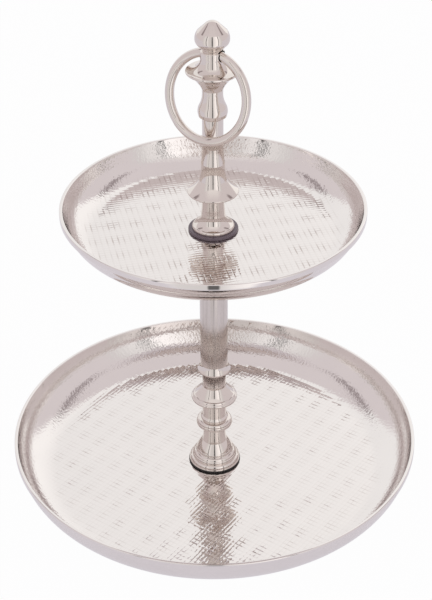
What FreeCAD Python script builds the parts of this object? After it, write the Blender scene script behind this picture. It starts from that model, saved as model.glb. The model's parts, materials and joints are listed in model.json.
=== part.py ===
import FreeCAD
import Part
import math
import os

os.makedirs("parts", exist_ok=True)

# Two-tier cake stand. Millimetres, +Z up, origin on the stand's axis at the
# underside of the lower tray. The hole for the ring handle runs along X.

# ---------------------------------------------------------------- dimensions
SHEET = 1.4                  # thickness of the pressed trays

LIP_W = 2.4                  # width of the folded lip
LIP_H = 4.4                  # height of the folded lip

LOWER_RIM_R = 150.0          # outside radius of the lower tray
LOWER_RIM_Z = 30.0           # top of its lip
LOWER_FLAT_R = 120.1         # radius of its flat floor
LOWER_BEND = 27.5            # inside radius of the bend up into the wall
LOWER_LEAN = 80.0            # slope the bend ends at, degrees

UPPER_RIM_R = 105.2          # outside radius of the upper tray
UPPER_RIM_Z = 223.6          # top of its lip
UPPER_FLAT_R = 83.0          # radius of its flat floor
UPPER_BEND = 18.2            # inside radius of the bend up into the wall
UPPER_LEAN = 70.0            # slope the bend ends at, degrees
UPPER_FLOOR_Z = 202.0        # underside of its floor

BOSS_R = 12.2                # raised boss under the column, outside radius
BOSS_H = 4.6                 # height of the recess below the boss
HOLE_R = 3.3                 # clearance hole for the rod and the screw
ROD_R = 3.0                  # M6 screw, rod and stud

GASKET_R = 19.4              # lower gasket
GASKET_T = 1.7
GASKET_IN_R = 13.4

TUBE_R = 10.0                # plain tube
TUBE_WALL = 1.2
TUBE_Z0 = 87.0               # seated in the spindle's collar
TUBE_Z1 = 198.4              # under the seat of the upper tray
SEAT_R = 13.0                # seat below the upper tray
SEAT_SPIGOT = 9.0

UPPER_GASKET_R = 17.3        # upper gasket
UPPER_GASKET_T = 1.9
UPPER_GASKET_ROUND = 0.7

FOOT_R = 14.7                # rim of the upper foot
WAIST_R = 7.9                # its waist
FOOT_TOP_Z = 234.6           # where it ends under the bell
BELL_R = 17.5                # bell of the upper stem
BELL_Z = 233.2               # lower edge of the bell
STEM_R = 7.1                 # upper end of the stem
STEM_TOP_Z = 288.6           # joint under the vase

BULGE_R = 10.0               # vase
FLANGE_R = 17.8              # flange over the vase
NECK_R = 8.1                 # neck with the cross hole
BALL_R = 11.5                # ball
BALL_Z = 344.2               # widest level of the ball
TOP_Z = 356.5                # tip of the ball
TIP_R = 6.5                  # rounding of the tip

HOLE_Z = 333.7               # axis of the cross hole
CROSS_R = 4.0                # radius of the cross hole
RING_R = 29.5                # centreline radius of the ring handle
WIRE_R = 3.1                 # radius of the ring's wire
RING_RISE = 0.54             # ring's top above the hole axis, at the centre
RING_LEAN = 12.5             # degrees the ring hangs out towards -Y


# ------------------------------------------------------------------- helpers
def vec(r, z):
    return FreeCAD.Vector(r, 0, z)


def turned(outline):
    """Solid of revolution about Z. The outline is a closed loop of (r, z)
    corners; an entry (rm, zm, r, z) reaches (r, z) by an arc through (rm, zm)."""
    start = vec(outline[0][0], outline[0][1])
    here = start
    edges = []
    for step in outline[1:]:
        there = vec(step[-2], step[-1])
        if len(step) == 4:
            edges.append(Part.Arc(here, vec(step[0], step[1]), there).toShape())
        else:
            edges.append(Part.LineSegment(here, there).toShape())
        here = there
    edges.append(Part.LineSegment(here, start).toShape())
    face = Part.Face(Part.Wire(edges))
    return face.revolve(FreeCAD.Vector(0, 0, 0), FreeCAD.Vector(0, 0, 1), 360)


def post(radius, z0, z1):
    return Part.makeCylinder(radius, z1 - z0, FreeCAD.Vector(0, 0, z0))


def save(shape, node):
    if not shape.isValid():
        raise RuntimeError(node)
    shape.exportStep("parts/" + node + ".step")


# --------------------------------------------------------------------- trays
# One pressed sheet: flat floor, a round bend up into the wall, and a lip
# folded over at the rim.
def bend_point(flat_r, low_z, bend, angle):
    """Point on a bend that starts level at (flat_r, low_z) and has turned
    up by angle, in degrees."""
    turn = math.radians(angle)
    return (flat_r + bend * math.sin(turn), low_z + bend * (1.0 - math.cos(turn)))


def tray(rim_r, rim_z, flat_r, low_z, bend, lean):
    out_mid = bend_point(flat_r, low_z, bend + SHEET, lean / 2)
    out_end = bend_point(flat_r, low_z, bend + SHEET, lean)
    in_mid = bend_point(flat_r, low_z + SHEET, bend, lean / 2)
    in_end = bend_point(flat_r, low_z + SHEET, bend, lean)
    lip_in_r = rim_r - LIP_W
    lip_low_z = rim_z - LIP_H
    return turned([
        (HOLE_R, low_z),
        (flat_r, low_z),
        (*out_mid, *out_end),
        (rim_r - 1.0, lip_low_z),
        (rim_r, lip_low_z + 0.6),
        (rim_r, rim_z - 0.7),
        (rim_r - 0.2, rim_z - 0.2, rim_r - 0.7, rim_z),
        (lip_in_r + 0.6, rim_z),
        (lip_in_r, rim_z - 0.6),
        in_end,
        (*in_mid, flat_r, low_z + SHEET),
        (HOLE_R, low_z + SHEET),
    ])


lower_tray = tray(
    LOWER_RIM_R, LOWER_RIM_Z, LOWER_FLAT_R, 0.0, LOWER_BEND, LOWER_LEAN)
boss_blank = post(BOSS_R, 0.0, BOSS_H + SHEET)
boss_hollow = post(BOSS_R - SHEET, 0.0, BOSS_H)
lower_tray = lower_tray.fuse(boss_blank).cut(boss_hollow)
lower_tray = lower_tray.cut(post(HOLE_R, 0.0, BOSS_H + SHEET)).removeSplitter()
save(lower_tray, "lower_tray")

upper_tray = tray(
    UPPER_RIM_R, UPPER_RIM_Z, UPPER_FLAT_R, UPPER_FLOOR_Z, UPPER_BEND, UPPER_LEAN)
save(upper_tray, "upper_tray")

# ------------------------------------------------- screw below the lower tray
washer_z = BOSS_H - 1.0
washer = post(6.3, washer_z, BOSS_H).cut(post(HOLE_R, washer_z, BOSS_H))
save(washer, "screw_washer")

screw_head = turned([
    (0.0, 0.5),
    (3.4, 0.5),
    (4.9, 1.0, 5.2, washer_z - 0.8),
    (5.2, washer_z),
    (0.0, washer_z),
])
screw = screw_head.fuse(post(ROD_R, washer_z, 32.0))
slot = Part.makeBox(12.0, 1.2, 1.7, FreeCAD.Vector(-6.0, -0.6, 0.0))
screw = screw.cut(slot).removeSplitter()
save(screw, "tray_screw")

# ------------------------------------------------------------- lower gasket
gasket_z0 = SHEET
gasket_z1 = SHEET + GASKET_T
lower_gasket = turned([
    (GASKET_IN_R, gasket_z0),
    (GASKET_R - 0.5, gasket_z0),
    (GASKET_R, (gasket_z0 + gasket_z1) / 2, GASKET_R - 0.5, gasket_z1),
    (GASKET_IN_R, gasket_z1),
])
save(lower_gasket, "lower_gasket")

# ------------------------------------------------------------ lower spindle
# From the gasket up: three tiers, cove, small bead, neck, big bead with a
# coned top, neck, and the collar that holds the tube.
spindle = turned([
    (GASKET_IN_R - 0.2, gasket_z1),
    (19.0, gasket_z1),
    (18.8, gasket_z1 + 1.5, 18.0, 6.1),
    (17.4, 6.6),
    (16.8, 6.7),
    (16.8, 8.0, 16.0, 9.3),
    (15.2, 10.6, 14.1, 11.4),
    (13.8, 11.8),
    (13.9, 12.9, 13.4, 13.9),
    (12.1, 16.6, 9.6, 20.5),
    (9.2, 21.0),
    (8.6, 24.8, 8.4, 29.6),
    (8.4, 32.6),
    (9.9, 34.9, 12.6, 35.4),
    (13.3, 36.5, 13.0, 38.2),
    (12.2, 40.4, 10.3, 41.2),
    (9.9, 41.3),
    (10.1, 42.3, 9.7, 43.1),
    (8.9, 44.2),
    (8.9, 56.6),
    (10.7, 58.9, 15.2, 59.5),
    (16.9, 60.5, 16.5, 61.9),
    (15.7, 62.6),
    (15.3, 63.4, 14.4, 64.0),
    (12.0, 66.7, 8.9, 71.2),
    (8.7, 72.6),
    (8.7, 82.6),
    (9.5, 83.9, 11.4, 84.6),
    (12.1, 85.3),
    (12.1, 86.2),
    (10.9, 88.6, 10.3, 91.2),
    (TUBE_R, 91.2),
    (TUBE_R, TUBE_Z0),
    (0.0, TUBE_Z0),
    (0.0, 6.3),
    (GASKET_IN_R - 0.2, 6.3),
])
spindle = spindle.cut(post(ROD_R, 6.3, 32.0))
spindle = spindle.cut(post(ROD_R, 60.0, TUBE_Z0))
save(spindle, "lower_spindle")

# --------------------------------------------------------------- plain tube
tube = post(TUBE_R, TUBE_Z0, TUBE_Z1).cut(post(TUBE_R - TUBE_WALL, TUBE_Z0, TUBE_Z1))
save(tube, "lower_tube")

# ---------------------------------------------- seat below the upper tray
seat = turned([
    (ROD_R, TUBE_Z1 - SEAT_SPIGOT),
    (TUBE_R - TUBE_WALL, TUBE_Z1 - SEAT_SPIGOT),
    (TUBE_R - TUBE_WALL, TUBE_Z1),
    (TUBE_R + 0.4, TUBE_Z1),
    (SEAT_R - 0.5, TUBE_Z1 + 0.6, SEAT_R, UPPER_FLOOR_Z - 1.2),
    (SEAT_R, UPPER_FLOOR_Z),
    (ROD_R, UPPER_FLOOR_Z),
])
save(seat, "tray_seat")

# ----------------------------------------------------------------- tie rod
save(post(ROD_R, 60.0, 226.0), "tie_rod")

# ------------------------------------------------------------ upper gasket
ug_z0 = UPPER_FLOOR_Z + SHEET
ug_z1 = ug_z0 + UPPER_GASKET_T
ug_in = UPPER_GASKET_R - UPPER_GASKET_ROUND
ug_arc = UPPER_GASKET_R - UPPER_GASKET_ROUND * (1.0 - math.cos(math.pi / 4))
ug_drop = UPPER_GASKET_ROUND * (1.0 - math.sin(math.pi / 4))
upper_gasket = turned([
    (HOLE_R, ug_z0),
    (ug_in, ug_z0),
    (ug_arc, ug_z0 + ug_drop, UPPER_GASKET_R, ug_z0 + UPPER_GASKET_ROUND),
    (UPPER_GASKET_R, ug_z1 - UPPER_GASKET_ROUND),
    (ug_arc, ug_z1 - ug_drop, ug_in, ug_z1),
    (HOLE_R, ug_z1),
])
save(upper_gasket, "upper_gasket")

# -------------------------------------------------------------- upper foot
foot = turned([
    (ROD_R, ug_z1),
    (FOOT_R - 0.2, ug_z1),
    (FOOT_R, ug_z1 + 0.3),
    (FOOT_R, 206.4),
    (14.4, 207.3, 13.2, 208.1),
    (9.5, 211.9, 8.2, 217.2),
    (WAIST_R, 220.6),
    (WAIST_R - 0.15, 226.0, WAIST_R + 0.3, 231.6),
    (WAIST_R + 0.3, FOOT_TOP_Z),
    (ROD_R, FOOT_TOP_Z),
])
save(foot, "upper_foot")

# -------------------------------------------------------------- upper stem
stem = turned([
    (0.0, FOOT_TOP_Z),
    (WAIST_R + 0.3, FOOT_TOP_Z),
    (13.0, 234.0, BELL_R - 0.7, BELL_Z - 0.5),
    (BELL_R, BELL_Z, BELL_R - 0.1, BELL_Z + 0.9),
    (12.9, 238.3, 9.6, 243.0),
    (8.5, 248.6, 8.1, 255.2),
    (7.4, 261.2, STEM_R, 267.4),
    (STEM_R, STEM_TOP_Z),
    (0.0, STEM_TOP_Z),
])
stem = stem.cut(post(ROD_R, 277.0, STEM_TOP_Z))
save(stem, "upper_stem")

# ------------------------------------------------------------------ finial
tip_z = TOP_Z - TIP_R
finial = turned([
    (0.0, STEM_TOP_Z),
    (STEM_R + 0.2, STEM_TOP_Z),
    (BULGE_R - 0.5, 290.2),
    (BULGE_R, 292.6),
    (BULGE_R - 0.1, 295.0, 8.9, 297.9),
    (7.4, 302.0, 7.0, 307.6),
    (7.0, 309.0),
    (8.4, 312.0, 11.0, 315.6),
    (14.0, 319.0, FLANGE_R - 0.6, 321.0),
    (FLANGE_R, 321.8, FLANGE_R - 0.3, 322.5),
    (FLANGE_R - 0.6, 322.7),
    (14.6, 323.0),
    (9.8, 325.6, NECK_R, 331.6),
    (NECK_R, 334.6),
    (7.7, 335.9, 6.8, 336.4),
    (7.0, 337.2),
    (9.3, 340.0),
    (11.0, 341.9, BALL_R, BALL_Z),
    (11.2, 346.8, 9.9, 349.5),
    (TIP_R * math.sin(math.pi / 4), tip_z + TIP_R * math.cos(math.pi / 4)),
    (TIP_R * math.sin(math.pi / 8), tip_z + TIP_R * math.cos(math.pi / 8), 0.0, TOP_Z),
])
finial = finial.cut(post(ROD_R, STEM_TOP_Z, 302.0))
cross_hole = Part.makeCylinder(
    CROSS_R, 60.0, FreeCAD.Vector(-30.0, 0, HOLE_Z), FreeCAD.Vector(1, 0, 0))
finial = finial.cut(cross_hole)
save(finial, "finial")

save(post(ROD_R, 277.0, 302.0), "finial_stud")

# ------------------------------------------------------------- ring handle
# The ring's plane holds the X axis and leans out from the stem.
lean = math.radians(RING_LEAN)
drop = RING_R - RING_RISE
ring_centre = FreeCAD.Vector(0, -drop * math.sin(lean), HOLE_Z - drop * math.cos(lean))
ring_normal = FreeCAD.Vector(0, math.cos(lean), -math.sin(lean))
ring = Part.makeTorus(RING_R, WIRE_R, ring_centre, ring_normal)
save(ring, "ring_handle")
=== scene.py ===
import bpy
import bmesh
import json
import math
import numpy as np
from mathutils import Matrix


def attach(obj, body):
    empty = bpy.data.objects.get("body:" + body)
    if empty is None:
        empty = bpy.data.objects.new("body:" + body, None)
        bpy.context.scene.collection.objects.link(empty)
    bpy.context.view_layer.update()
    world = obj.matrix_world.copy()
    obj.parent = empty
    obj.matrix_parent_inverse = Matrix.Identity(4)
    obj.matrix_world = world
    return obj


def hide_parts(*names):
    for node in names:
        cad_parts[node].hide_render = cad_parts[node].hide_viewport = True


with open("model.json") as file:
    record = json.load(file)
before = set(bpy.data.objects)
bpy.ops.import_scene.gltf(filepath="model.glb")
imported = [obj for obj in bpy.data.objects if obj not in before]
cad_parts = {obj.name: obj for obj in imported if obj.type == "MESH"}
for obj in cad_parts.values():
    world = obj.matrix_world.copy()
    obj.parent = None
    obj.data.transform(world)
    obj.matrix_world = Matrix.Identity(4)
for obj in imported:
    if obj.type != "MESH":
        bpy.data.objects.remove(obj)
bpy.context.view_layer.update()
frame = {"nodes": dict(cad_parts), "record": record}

MM = 0.001
FULL_TURN = 2.0 * math.pi
DEGREES = 180.0 / math.pi

# ------------------------------------------------------------------ camera
CAM_AZIMUTH = math.radians(32.5)     # round the column from -Y towards +X
CAM_DISTANCE = 0.8903                # metres on the level from the column
CAM_HEIGHT = 0.7208                  # metres above the table
CAM_PITCH = math.radians(32.90)      # below the horizon
CAM_PAN = math.radians(0.104)
CAM_ROLL = math.radians(-0.268)
CAM_LENS = 89.24                     # mm, on a sensor this wide:
CAM_SENSOR = 36.0
CAM_REACH = 50.0                     # metres to the far clip


# --------------------------------------------------------------- materials
CLOUD_SCALE = 38.0                   # clouds per metre in the plate's polish
CLOUD_SPAN = (0.3, 0.7)              # noise values taken as least and most worn
RUBBER_SCALE = 900.0
RUBBER_GAIN = 1.5                    # its lightest specks against its colour
NICKEL = (0.80, 0.74, 0.70)
TRAY_NICKEL = (0.86, 0.82, 0.80)
# painted shade in the tray grooves: the share of the colour that the darkest groove keeps
GROOVE_SHADE_KEEP = (0.50, 0.44, 0.42)         # what the darkest groove leaves of the colour
ZINC = (0.60, 0.59, 0.58)


def new_material(name):
    """A material with its nodes, its links and its shader."""
    material = bpy.data.materials.new(name)
    material.use_nodes = True
    nodes = material.node_tree.nodes
    return material, nodes, material.node_tree.links, nodes["Principled BSDF"]


def polished_metal(name, colour, roughness, smear, scale=(1.0, 1.0, 1.0), wear=0.94):
    """Bright plate whose roughness rises by smear, and whose colour falls to
    wear, with a cloudy pattern that scale can draw out into streaks."""
    material, nodes, links, shader = new_material(name)
    shader.inputs["Metallic"].default_value = 1.0
    place = nodes.new("ShaderNodeTexCoord")
    cloud = nodes.new("ShaderNodeTexNoise")
    cloud.inputs["Scale"].default_value = CLOUD_SCALE
    cloud.inputs["Detail"].default_value = 4.0
    stretch = nodes.new("ShaderNodeMapping")
    stretch.inputs["Scale"].default_value = scale
    links.new(place.outputs["Object"], stretch.inputs["Vector"])
    links.new(stretch.outputs["Vector"], cloud.inputs["Vector"])
    tint = nodes.new("ShaderNodeMapRange")
    tint.inputs["From Min"].default_value = CLOUD_SPAN[0]
    tint.inputs["From Max"].default_value = CLOUD_SPAN[1]
    tint.inputs["To Min"].default_value = roughness
    tint.inputs["To Max"].default_value = roughness + smear
    links.new(cloud.outputs["Fac"], tint.inputs["Value"])
    links.new(tint.outputs["Result"], shader.inputs["Roughness"])
    shade = nodes.new("ShaderNodeMix")
    shade.data_type = "RGBA"
    shade.inputs["A"].default_value = (*colour, 1.0)
    shade.inputs["B"].default_value = (*[c * wear for c in colour], 1.0)
    links.new(cloud.outputs["Fac"], shade.inputs["Factor"])
    links.new(shade.outputs["Result"], shader.inputs["Base Color"])
    return material


def rubber(name, colour, roughness):
    """Moulded rubber with a fine speckle."""
    material, nodes, links, shader = new_material(name)
    shader.inputs["Roughness"].default_value = roughness
    place = nodes.new("ShaderNodeTexCoord")
    grain = nodes.new("ShaderNodeTexNoise")
    grain.inputs["Scale"].default_value = RUBBER_SCALE
    links.new(place.outputs["Object"], grain.inputs["Vector"])
    shade = nodes.new("ShaderNodeMix")
    shade.data_type = "RGBA"
    shade.inputs["A"].default_value = (*colour, 1.0)
    shade.inputs["B"].default_value = (*[c * RUBBER_GAIN for c in colour], 1.0)
    links.new(grain.outputs["Fac"], shade.inputs["Factor"])
    links.new(shade.outputs["Result"], shader.inputs["Base Color"])
    return material


def paint_groove_shade(material, attribute, keep):
    """Paints shade into the grooves: darkens the base colour down to the share keep of it, by a
    mesh attribute that runs from 0 to 1."""
    nodes, links = material.node_tree.nodes, material.node_tree.links
    shader = nodes["Principled BSDF"]
    clean = shader.inputs["Base Color"].links[0].from_socket
    pressed = nodes.new("ShaderNodeAttribute")
    pressed.attribute_name = attribute
    amount = nodes.new("ShaderNodeMapRange")
    links.new(pressed.outputs["Fac"], amount.inputs["Value"])
    dark = nodes.new("ShaderNodeMix")
    dark.data_type = "RGBA"
    dark.blend_type = "MULTIPLY"
    dark.inputs["B"].default_value = (*keep, 1.0)
    links.new(amount.outputs["Result"], dark.inputs["Factor"])
    links.new(clean, dark.inputs["A"])
    links.new(dark.outputs["Result"], shader.inputs["Base Color"])


def stretch_grain(material, attribute, size, height):
    """Fine unevenness of the metal where it was stretched in drawing, which
    a mesh attribute tells from 0 to 1."""
    nodes, links = material.node_tree.nodes, material.node_tree.links
    place = nodes.new("ShaderNodeTexCoord")
    grain = nodes.new("ShaderNodeTexNoise")
    grain.inputs["Scale"].default_value = 1.0 / size
    grain.inputs["Detail"].default_value = 2.0
    links.new(place.outputs["Object"], grain.inputs["Vector"])
    drawn = nodes.new("ShaderNodeAttribute")
    drawn.attribute_name = attribute
    bump = nodes.new("ShaderNodeBump")
    bump.inputs["Distance"].default_value = height
    links.new(drawn.outputs["Fac"], bump.inputs["Strength"])
    links.new(grain.outputs["Fac"], bump.inputs["Height"])
    links.new(bump.outputs["Normal"], nodes["Principled BSDF"].inputs["Normal"])


tray_metal = polished_metal("tray_nickel", TRAY_NICKEL, 0.02, 0.03)
# painted shade in the grooves, darker where they are struck deeper
paint_groove_shade(tray_metal, "groove_shade", GROOVE_SHADE_KEEP)
stretch_grain(tray_metal, "drawn", 1.6 * MM, 0.14 * MM)
column_metal = polished_metal("column_nickel", NICKEL, 0.05, 0.03)
ring_metal = polished_metal("ring_nickel", NICKEL, 0.05, 0.03)
tube_metal = polished_metal("drawn_tube_nickel", NICKEL, 0.08, 0.10, (14.0, 14.0, 0.6), 0.72)
steel = polished_metal("zinc_steel", ZINC, 0.28, 0.1)
black_rubber = rubber("black_rubber", (0.012, 0.010, 0.010), 0.5)
grey_rubber = rubber("grey_rubber", (0.125, 0.096, 0.118), 0.25)

FINISH = {                           # by the record's material slots
    "tray_metal": tray_metal,
    "column_metal": column_metal,
    "ring_metal": ring_metal,
    "lower_rubber": black_rubber,
    "upper_rubber": grey_rubber,
    "fastener_steel": steel,
}
for entry in frame["record"]["subparts"]:
    node = frame["nodes"][entry["node"]]
    node.data.materials.clear()
    node.data.materials.append(FINISH[entry["material_slot"]])
# the tube is drawn stock, duller than the turned pieces in the same slot
tube = frame["nodes"]["lower_tube"]
tube.data.materials.clear()
tube.data.materials.append(tube_metal)

# ---------------------------------------------------- embossed tray meshes
SHEET = 1.4                          # mm, like all lengths of the trays in the CAD
LIP_W = 2.4
LIP_H = 4.4
LIP_FOOT = ((0.0, 0.6), (0.3, 0.15), (1.0, 0.0))  # round its lower edge: in and up
HOLE_R = 3.3                         # the screw's hole
BOSS_R = 12.2                        # the boss in the lower tray's middle
BOSS_H = 4.6
LIP_IN_ROUND = 0.6                   # rounding of the lip's inner edge
LIP_OUT_ROUND = 0.7                  # and of its outer edge
SEGMENTS = 240                       # steps round the axis
LIP_STEPS = 4                        # steps round each edge of the lip
BEND_STEPS = 18                      # steps down the outside of the bend
GROOVE_HALF = 0.17                   # share of a cell from groove to face
TILT_REACH = 0.3                     # share of a cell over which a tilted face rises
GRID_SHIFT = (0.37, 0.61)            # mm between the axis and the nearest grooves
PATCH_SHARPNESS = (1.3, 0.5)         # across and along a patch
PATCH_KINDS = 64                     # patches before their strengths repeat
PATCH_SPREAD = (0.5, 1.15)           # strength of a patch
CELL_SPREAD = (0.7, 1.3)             # strength of a cell within its patch
CELL_LIFT = 0.15                     # share of the depth that a face may sit low
RUNG = (0.3, 0.7)                    # grooves across: depth share everywhere, and
RAIL = (0.4, 0.3)                    # added in a patch; and the grooves along
RUNG_SHADING = (0.1, 0.9)              # the same for the shade painted into them
RAIL_SHADING = (0.1, 0.35)
DRAWN_WIDTH = 9.0                    # mm of the bend over which the cells flatten
DRAWN_LOSS = 0.8                     # share of their depth lost there
LIP_FADE = 3.0                       # mm below the lip over which the cells end
CELL_EDGE = 5.0                      # degrees: edges between cells stay crisp
SMOOTH_EDGE = 40.0                   # degrees: sharper ones stay crisp elsewhere
FIRST_SEED = 11                      # one seed for each tray


def wall_point(tray, s, depth):
    """Point of the tray's inside face, s along it from the axis, and pushed
    depth into the sheet. Returns radius and height."""
    lean = math.radians(tray["lean"])
    floor_z = tray["low_z"] + SHEET
    bent = np.clip((s - tray["flat_r"]) / tray["bend"], 0.0, lean)
    past = np.maximum(s - tray["flat_r"] - tray["bend"] * lean, 0.0)
    flat = np.minimum(s, tray["flat_r"])
    r = flat + tray["bend"] * np.sin(bent) + past * math.cos(lean)
    z = floor_z + tray["bend"] * (1.0 - np.cos(bent)) + past * math.sin(lean)
    return r + depth * np.sin(bent), z - depth * np.cos(bent)


def emboss(tray, rng):
    """Lattice of flat cells over the sheet, struck deeper in patches: the grid in the sheet, how
    deep each point is pressed, and how much shade is painted into its groove."""
    reach = tray["sheet_r"]
    share = np.array([0.0, GROOVE_HALF, 1.0 - GROOVE_HALF])
    cells_u = int(reach / tray["cell_u"]) + 2
    cells_v = int(reach / tray["cell_v"]) + 2
    across = np.arange(-cells_u, cells_u)
    along = np.arange(-cells_v, cells_v)
    u = ((across[:, None] + share) * tray["cell_u"]).ravel() + GRID_SHIFT[0]
    v = ((along[:, None] + share) * tray["cell_v"]).ravel() + GRID_SHIFT[1]
    shape = (len(across), len(along))
    wave_u = np.cos(FULL_TURN * (across + 0.5) * tray["cell_u"] / tray["patch_u"])
    wave_v = np.cos(FULL_TURN * (along + 0.5) * tray["cell_v"] / tray["patch_v"])
    patch_u = (0.5 + 0.5 * wave_u) ** PATCH_SHARPNESS[0]
    patch_v = (0.5 + 0.5 * wave_v) ** PATCH_SHARPNESS[1]
    strike = patch_u[:, None] * patch_v[None, :]
    number_u = np.rint((across + 0.5) * tray["cell_u"] / tray["patch_u"]).astype(int)
    number_v = np.rint((along + 0.5) * tray["cell_v"] / tray["patch_v"]).astype(int)
    patch_at = np.ix_(number_u % PATCH_KINDS, number_v % PATCH_KINDS)
    strike = strike * rng.uniform(*PATCH_SPREAD, (PATCH_KINDS, PATCH_KINDS))[patch_at]
    strike = np.clip(strike * rng.uniform(*CELL_SPREAD, shape), 0.0, 1.0)
    tilt_u = rng.uniform(-1.0, 1.0, shape) * tray["tilt"]
    tilt_v = rng.uniform(-1.0, 1.0, shape) * tray["tilt"]
    lift = rng.uniform(0.0, CELL_LIFT, shape) * tray["depth"]
    rung = tray["depth"] * (RUNG[0] + RUNG[1] * strike)
    rail = tray["depth"] * (RAIL[0] + RAIL[1] * strike)
    lean_u = tilt_u * tray["cell_u"] * TILT_REACH
    lean_v = tilt_v * tray["cell_v"] * TILT_REACH
    depth = np.zeros((len(u), len(v)))
    groove_shading = np.zeros((len(u), len(v)))
    for a, fu in enumerate((0.0, -1.0, 1.0)):
        for b, fv in enumerate((0.0, -1.0, 1.0)):
            face = lift + fu * lean_u + fv * lean_v
            if fu == 0.0:
                face = rail
                groove_shading[a::3, b::3] = RAIL_SHADING[0] + RAIL_SHADING[1] * strike
            if fv == 0.0:
                face = rung if fu else np.maximum(rung, rail)
                groove_shading[a::3, b::3] = RUNG_SHADING[0] + RUNG_SHADING[1] * strike
            depth[a::3, b::3] = face
    return u, v, depth, groove_shading * tray["groove_shading"]


def bridge(loop_a, angle_a, loop_b, angle_b):
    """Triangles between two closed loops round the axis; a lies inside b."""
    order_a = np.argsort(angle_a)
    order_b = np.argsort(angle_b)
    a_ids, a_at = loop_a[order_a], angle_a[order_a]
    b_ids, b_at = loop_b[order_b], angle_b[order_b]
    a_ids = np.append(a_ids, a_ids[0])
    a_at = np.append(a_at, a_at[0] + FULL_TURN)
    b_ids = np.append(b_ids, b_ids[0])
    b_at = np.append(b_at, b_at[0] + FULL_TURN)
    faces = []
    i = j = 0
    while i < len(a_ids) - 1 or j < len(b_ids) - 1:
        step_a = i < len(a_ids) - 1 and (j == len(b_ids) - 1 or a_at[i + 1] < b_at[j + 1])
        if step_a:
            faces.append((a_ids[i], b_ids[j], a_ids[i + 1]))
            i += 1
        else:
            faces.append((a_ids[i], b_ids[j], b_ids[j + 1]))
            j += 1
    return faces


def rim_outline(tray):
    """Radius and height round the outside, from the lip's inner edge down
    to the flat underside."""
    rim_r, rim_z = tray["rim_r"], tray["rim_z"]
    low = rim_z - LIP_H
    inner = rim_r - LIP_W
    line = [(inner, rim_z - LIP_IN_ROUND)]
    for step in range(1, LIP_STEPS + 1):
        turn = math.radians(90.0 * step / LIP_STEPS)
        line.append((inner + LIP_IN_ROUND * (1.0 - math.cos(turn)),
                     rim_z - LIP_IN_ROUND + LIP_IN_ROUND * math.sin(turn)))
    for step in range(0, LIP_STEPS + 1):
        turn = math.radians(90.0 * step / LIP_STEPS)
        line.append((rim_r - LIP_OUT_ROUND + LIP_OUT_ROUND * math.sin(turn),
                     rim_z - LIP_OUT_ROUND + LIP_OUT_ROUND * math.cos(turn)))
    line += [(rim_r - inward, low + up) for inward, up in LIP_FOOT]
    outside = tray["bend"] + SHEET
    for step in range(BEND_STEPS + 1):
        turn = math.radians(tray["lean"]) * (1.0 - step / BEND_STEPS)
        line.append((tray["flat_r"] + outside * math.sin(turn),
                     tray["low_z"] + outside * (1.0 - math.cos(turn))))
    return line


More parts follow.
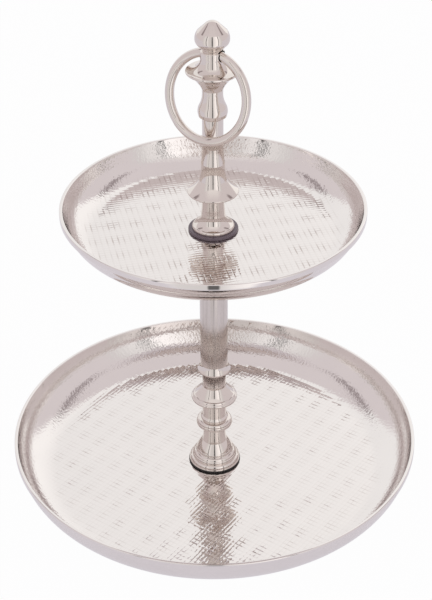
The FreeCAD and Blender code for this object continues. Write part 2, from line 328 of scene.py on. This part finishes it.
def tray_mesh(tray, seed):
    """One closed sheet: the embossed lattice inside, and plain rings round
    the outside that join it at the lip and at the hub."""
    rng = np.random.default_rng(seed)
    u, v, depth, groove_shading = emboss(tray, rng)
    grid_u, grid_v = np.meshgrid(u, v, indexing="ij")
    s = np.hypot(grid_u, grid_v)
    kept = (s < tray["sheet_r"]) & (s > tray["hub_r"])
    quad = kept[:-1, :-1] & kept[1:, :-1] & kept[:-1, 1:] & kept[1:, 1:]
    used = np.zeros_like(kept)
    inside = np.zeros(kept.shape, int)
    for di in (0, 1):
        for dj in (0, 1):
            block = (slice(di, di + quad.shape[0]), slice(dj, dj + quad.shape[1]))
            used[block] |= quad
            inside[block] += quad
    number = np.full(kept.shape, -1)
    number[used] = np.arange(used.sum())
    # the pattern is drawn out shallow on the bend and stops at the lip
    drawn = np.clip((s - tray["flat_r"]) / DRAWN_WIDTH, 0.0, 1.0)
    fade = np.clip((tray["sheet_r"] - s) / LIP_FADE, 0.0, 1.0) * (1.0 - DRAWN_LOSS * drawn)
    r, z = wall_point(tray, s, depth * fade)
    angle = np.arctan2(grid_v, grid_u) + math.radians(tray["grain"])
    verts = [np.stack([r * np.cos(angle), r * np.sin(angle), z], -1)[used]]
    corners = number[:-1, :-1], number[1:, :-1], number[1:, 1:], number[:-1, 1:]
    faces = [np.stack(corners, -1)[quad]]
    edge = used & (inside < 4)
    rim_edge = edge & (s > (tray["sheet_r"] + tray["hub_r"]) / 2)
    hub_edge = edge & ~rim_edge
    count = int(used.sum())

    spin = np.linspace(0.0, FULL_TURN, SEGMENTS, endpoint=False)

    def ring(radius, height):
        nonlocal count
        verts.append(np.stack([radius * np.cos(spin), radius * np.sin(spin),
                               np.full(SEGMENTS, height)], -1))
        ids = np.arange(count, count + SEGMENTS)
        count += SEGMENTS
        return ids

    outline = rim_outline(tray) + tray["under"]
    rings = [ring(*corner) for corner in outline]
    triangles = bridge(number[rim_edge], angle[rim_edge] % FULL_TURN, rings[0], spin)
    triangles += [face[::-1] for face in
                  bridge(number[hub_edge], angle[hub_edge] % FULL_TURN, rings[-1], spin)]
    for low, high in zip(rings[:-1], rings[1:]):
        faces.append(np.stack([low, high, np.roll(high, -1), np.roll(low, -1)], -1))
    mesh = bpy.data.meshes.new(tray["name"])
    points = np.concatenate(verts) * MM
    quads = np.concatenate(faces).tolist()
    mesh.from_pydata(points.tolist(), [], quads + [list(map(int, t)) for t in triangles])
    mesh.validate()
    piece = bpy.data.objects.new(tray["name"], mesh)
    bpy.context.collection.objects.link(piece)
    tidy = bmesh.new()
    tidy.from_mesh(mesh)
    bmesh.ops.recalc_face_normals(tidy, faces=tidy.faces)
    tidy.to_mesh(mesh)
    tidy.free()
    mesh.polygons.foreach_set("use_smooth", [True] * len(mesh.polygons))
    # the painted groove shade fades out on the bend, where the cells are drawn flat
    for attribute, amount in (("groove_shade", groove_shading * (1.0 - drawn)), ("drawn", drawn)):
        values = np.zeros(len(mesh.vertices))
        values[:len(verts[0])] = amount[used]
        mesh.attributes.new(attribute, "FLOAT", "POINT").data.foreach_set("value", values)
    # facets stay crisp on the cells, and only real corners do elsewhere
    ends = np.zeros(2 * len(mesh.edges), int)
    mesh.edges.foreach_get("vertices", ends)
    rounded = np.ones(len(mesh.vertices), bool)
    rounded[:len(verts[0])] = (drawn > 0.0)[used]
    smooth_part = rounded[ends.reshape(-1, 2)].any(1)
    sharp = []
    for limit in (SMOOTH_EDGE, CELL_EDGE):
        mesh.set_sharp_from_angle(angle=math.radians(limit))
        found = np.zeros(len(mesh.edges), bool)
        mesh.attributes["sharp_edge"].data.foreach_get("value", found)
        sharp.append(found)
    mesh.attributes["sharp_edge"].data.foreach_set("value", np.where(smooth_part, *sharp))
    return piece


# hub_r is the free edge of the lattice round the middle, and under runs from
# the flat underside through the screw's hole to that edge
TRAYS = [
    {"name": "lower_tray_sheet", "node": "lower_tray",
     "low_z": 0.0, "rim_r": 150.0, "rim_z": 30.0,
     "flat_r": 120.1, "bend": 27.5, "lean": 80.0, "sheet_r": 161.3, "hub_r": 14.0,
     "cell_u": 3.05, "cell_v": 3.99, "patch_u": 14.2, "patch_v": 16.8, "grain": -2.6,
     "depth": 0.11, "tilt": 0.003, "groove_shading": 0.55,
     "under": [(60.0, 0.0), (BOSS_R - SHEET, 0.0), (BOSS_R - SHEET, BOSS_H), (HOLE_R, BOSS_H),
               (HOLE_R, BOSS_H + SHEET), (BOSS_R, BOSS_H + SHEET), (BOSS_R, SHEET)]},
    {"name": "upper_tray_sheet", "node": "upper_tray",
     "low_z": 202.0, "rim_r": 105.2, "rim_z": 223.6,
     "flat_r": 83.0, "bend": 18.2, "lean": 70.0, "sheet_r": 112.6, "hub_r": 8.0,
     "cell_u": 3.0, "cell_v": 3.95, "patch_u": 20.0, "patch_v": 16.8, "grain": -45.3,
     "depth": 0.13, "tilt": 0.003, "groove_shading": 0.9,
     "under": [(40.0, 202.0), (HOLE_R, 202.0), (HOLE_R, 202.0 + SHEET)]},
]
for seed, tray in enumerate(TRAYS, FIRST_SEED):
    piece = tray_mesh(tray, seed)
    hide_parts(tray["node"])
    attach(piece, "stand")
    piece.data.materials.append(tray_metal)

# ------------------------------------------------------------------- floor
# White where it is seen directly. To the metal it is a pale table that ends in
# front of the stand, where the softboxes reach down past its edge. "Front" is
# the side that the photograph was taken from, which stays where it is.
# Painted light: to the metal the floor glows as a lit pale table, shows the softbox row past its
# edge, and carries a painted reflection of that row in a band nearer the stand.
FLOOR_SIZE = 14.0
FLOOR_COLOUR = (0.93, 0.90, 0.96)
FLOOR_ROUGHNESS = 0.9
FRONT_ROW = [                        # degrees round from the front, brightness
    (-66, 0.72), (-56, 0.80), (-46, 0.90), (-41.5, 0.84), (-40, 0.14), (-37.5, 0.14), (-36, 0.98),
    (-30, 0.95), (-24, 0.80), (-4.5, 0.74), (-3.2, 0.14), (3.2, 0.14), (4.5, 0.78), (14, 1.02),
    (32, 1.24), (37, 1.16), (38, 0.22), (41, 0.22), (42.5, 0.98), (50, 0.88), (62, 0.72),
]
ROW_TINT = (1.0, 0.975, 0.97)
FRONT_SPAN = 132.0                   # degrees that the row covers
FRONT_SIDES = (66.0, 60.0)           # degrees off the front over which it ends
TABLE_EDGE = (0.50, 0.62)            # metres in front of the column
TABLE_PAINTED_SHEEN = (0.17, 0.30)           # where a painted reflection of them lies in the table's gloss
PAINTED_SHEEN_SIDES = (34.0, 22.0)
TABLE_GLOW = (0.76, 0.74, 0.79)
TABLE_GLOW_SHARE = 0.75              # of the table's look; the rest takes shadows
FLOOR_WHITE_SHARE = 0.95             # of the floor where it is seen directly


class Nodes:
    """Shorthand for building one node tree."""

    def __init__(self, tree):
        self.tree = tree

    def link(self, socket, value):
        """Feeds a socket from a colour, a number or another socket."""
        if isinstance(value, tuple):
            socket.default_value = (*value, 1.0)
        elif isinstance(value, (int, float)):
            socket.default_value = value
        else:
            self.tree.links.new(value, socket)

    def math(self, operation, *values):
        """Output of a math node over numbers or sockets."""
        node = self.tree.nodes.new("ShaderNodeMath")
        node.operation = operation
        for socket, value in zip(node.inputs, values):
            self.link(socket, value)
        return node.outputs["Value"]

    def rise(self, value, start, end):
        """Smooth step of value from 0 at start to 1 at end."""
        if start > end:
            value, start, end = self.math("MULTIPLY", value, -1.0), -start, -end
        node = self.tree.nodes.new("ShaderNodeMapRange")
        node.interpolation_type = "SMOOTHSTEP"
        self.link(node.inputs["Value"], value)
        node.inputs["From Min"].default_value = start
        node.inputs["From Max"].default_value = end
        return node.outputs["Result"]

    def paint(self, under, colour, *masks):
        """Lays colour over the colour so far wherever all the masks are one."""
        share = masks[0]
        for mask in masks[1:]:
            share = self.math("MULTIPLY", share, mask)
        node = self.tree.nodes.new("ShaderNodeMix")
        node.data_type = "RGBA"
        self.link(node.inputs["Factor"], share)
        self.link(node.inputs["A"], under)
        self.link(node.inputs["B"], colour)
        return node.outputs["Result"]

    def from_front(self, vector):
        """How far a vector reaches to the right, back and up as seen from
        the photograph's side, and its degrees round from the front."""
        spin = self.tree.nodes.new("ShaderNodeVectorRotate")
        spin.rotation_type = "Z_AXIS"
        spin.inputs["Angle"].default_value = -CAM_AZIMUTH
        self.link(spin.inputs["Vector"], vector)
        axes = self.tree.nodes.new("ShaderNodeSeparateXYZ")
        self.link(axes.inputs["Vector"], spin.outputs["Vector"])
        right, back, up = axes.outputs
        front = self.math("MULTIPLY", back, -1.0)
        bearing = self.math("MULTIPLY", self.math("ARCTAN2", right, front), DEGREES)
        return right, back, up, bearing

    def front_row(self, bearing):
        """Brightness of the softboxes by degrees round from the front."""
        ramp = self.tree.nodes.new("ShaderNodeValToRGB")
        stops = ramp.color_ramp.elements
        while len(stops) < len(FRONT_ROW):
            stops.new(0.5)
        for stop, (degrees, level) in zip(stops, FRONT_ROW):
            stop.position = (degrees + FRONT_SPAN / 2) / FRONT_SPAN
            stop.color = (*[level * tint for tint in ROW_TINT], 1.0)
        self.link(ramp.inputs["Fac"], self.math("MULTIPLY_ADD", bearing, 1.0 / FRONT_SPAN, 0.5))
        return ramp.outputs["Color"]


bpy.ops.mesh.primitive_plane_add(size=FLOOR_SIZE, location=(0, 0, 0))
floor = bpy.context.object
floor.name = "floor"
floor_material, floor_nodes, floor_links, floor_shader = new_material("floor_white")
floor_shader.inputs["Base Color"].default_value = (*FLOOR_COLOUR, 1.0)
floor_shader.inputs["Roughness"].default_value = FLOOR_ROUGHNESS
ground = Nodes(floor_material.node_tree)
spot = floor_nodes.new("ShaderNodeTexCoord").outputs["Object"]
*_, bearing = ground.from_front(spot)
length = floor_nodes.new("ShaderNodeVectorMath")
length.operation = "LENGTH"
floor_links.new(spot, length.inputs[0])
distance = length.outputs["Value"]
aside = ground.math("ABSOLUTE", bearing)
past_edge = ground.math("MULTIPLY", ground.rise(distance, *TABLE_EDGE),
                        ground.rise(aside, *FRONT_SIDES))
# painted reflection of the softboxes in the table's gloss
painted_sheen = ground.math("MULTIPLY", ground.rise(distance, *TABLE_PAINTED_SHEEN),
                    ground.rise(aside, *PAINTED_SHEEN_SIDES))
beyond = ground.math("MAXIMUM", past_edge, painted_sheen)
painted_table_light = floor_nodes.new("ShaderNodeEmission")
floor_links.new(ground.paint(TABLE_GLOW, ground.front_row(bearing), beyond),
                painted_table_light.inputs["Color"])
table = floor_nodes.new("ShaderNodeMixShader")
table_glow = ground.math("MULTIPLY_ADD", beyond, 1.0 - TABLE_GLOW_SHARE, TABLE_GLOW_SHARE)
floor_links.new(table_glow, table.inputs["Fac"])
floor_links.new(floor_shader.outputs["BSDF"], table.inputs[1])
floor_links.new(painted_table_light.outputs["Emission"], table.inputs[2])
plain_white = floor_nodes.new("ShaderNodeEmission")
seen_floor = floor_nodes.new("ShaderNodeLightPath").outputs["Is Camera Ray"]
blend = floor_nodes.new("ShaderNodeMixShader")
floor_links.new(ground.math("MULTIPLY", seen_floor, FLOOR_WHITE_SHARE), blend.inputs["Fac"])
floor_links.new(table.outputs["Shader"], blend.inputs[1])
floor_links.new(plain_white.outputs["Emission"], blend.inputs[2])
floor_links.new(blend.outputs["Shader"], floor_nodes["Material Output"].inputs["Surface"])
floor.data.materials.append(floor_material)

# ------------------------------------------------------------------- light
# A white studio tent seen from the column: the backdrop behind, a row of
# softboxes with dark gaps in front, grey sides and top. The pairs of degrees
# say where each part starts and where it is whole.
TENT_GREY = (0.76, 0.705, 0.72)
SEAM_GREY = (0.34, 0.29, 0.30)       # the dark seam round the back
SEAM_SIDES, SEAM_BOTTOM, SEAM_TOP = (84.0, 100.0), (39.0, 42.0), (50.0, 46.0)
BACKDROP_LEFT, BACKDROP_RIGHT = (0.97, 0.965, 0.965), (1.10, 1.09, 1.08)
BACKDROP_SIDES = (130.5, 133.5)
BACKDROP_SHADE = (-0.2, 0.5)         # from its left tone to its right tone
BACKDROP_TOP = 52.0                  # degrees up to its level top edge, at the middle
BACKDROP_BLUR = 0.05                 # softness of that edge
FRONT_SPILL = (0.93, 0.90, 0.89)     # light above the front row, fading upwards
SPILL_SIDES, SPILL_TOP = (62.0, 24.0), (78.0, 42.0)
ROW_TOP = (45.0, 41.0)
WHITE = (1.0, 1.0, 1.0)

world = bpy.data.worlds.new("studio")
bpy.context.scene.world = world
world.use_nodes = True
sky = Nodes(world.node_tree)
background = world.node_tree.nodes["Background"]
toward = world.node_tree.nodes.new("ShaderNodeTexCoord").outputs["Generated"]
rightward, backward, upward, round_front = sky.from_front(toward)
elevation = sky.math("MULTIPLY", sky.math("ARCSINE", upward), DEGREES)
off_front = sky.math("ABSOLUTE", round_front)

top_edge = sky.math("MULTIPLY", backward, math.tan(math.radians(BACKDROP_TOP)))
below_top = sky.rise(sky.math("SUBTRACT", top_edge, upward), 0.0, BACKDROP_BLUR)
glow = sky.paint(TENT_GREY, SEAM_GREY, sky.rise(off_front, *SEAM_SIDES),
                 sky.rise(elevation, *SEAM_BOTTOM), sky.rise(elevation, *SEAM_TOP))
backdrop = sky.paint(BACKDROP_LEFT, BACKDROP_RIGHT, sky.rise(rightward, *BACKDROP_SHADE))
glow = sky.paint(glow, backdrop, below_top, sky.rise(off_front, *BACKDROP_SIDES))
glow = sky.paint(glow, FRONT_SPILL, sky.rise(off_front, *SPILL_SIDES),
                 sky.rise(elevation, *SPILL_TOP))
glow = sky.paint(glow, sky.front_row(round_front), sky.rise(off_front, *FRONT_SIDES),
                 sky.rise(elevation, *ROW_TOP))
seen = world.node_tree.nodes.new("ShaderNodeLightPath").outputs["Is Camera Ray"]
sky.link(background.inputs["Color"], sky.paint(glow, WHITE, seen))
background.inputs["Strength"].default_value = 1.0

# ------------------------------------------------------------------ camera
camera_data = bpy.data.cameras.new("camera")
camera_data.sensor_width = CAM_SENSOR
camera_data.lens = CAM_LENS
camera_data.clip_end = CAM_REACH
camera = bpy.data.objects.new("camera", camera_data)
bpy.context.collection.objects.link(camera)
bpy.context.scene.camera = camera
camera.location = (
    CAM_DISTANCE * math.sin(CAM_AZIMUTH), -CAM_DISTANCE * math.cos(CAM_AZIMUTH), CAM_HEIGHT)
heading = CAM_AZIMUTH - CAM_PAN
turn = Matrix.Rotation(heading, 4, "Z")
tilt = Matrix.Rotation(math.pi / 2 - CAM_PITCH, 4, "X")
roll = Matrix.Rotation(CAM_ROLL, 4, "Z")
camera.rotation_euler = (turn @ tilt @ roll).to_euler()

scene = bpy.context.scene
scene.view_settings.view_transform = "Standard"
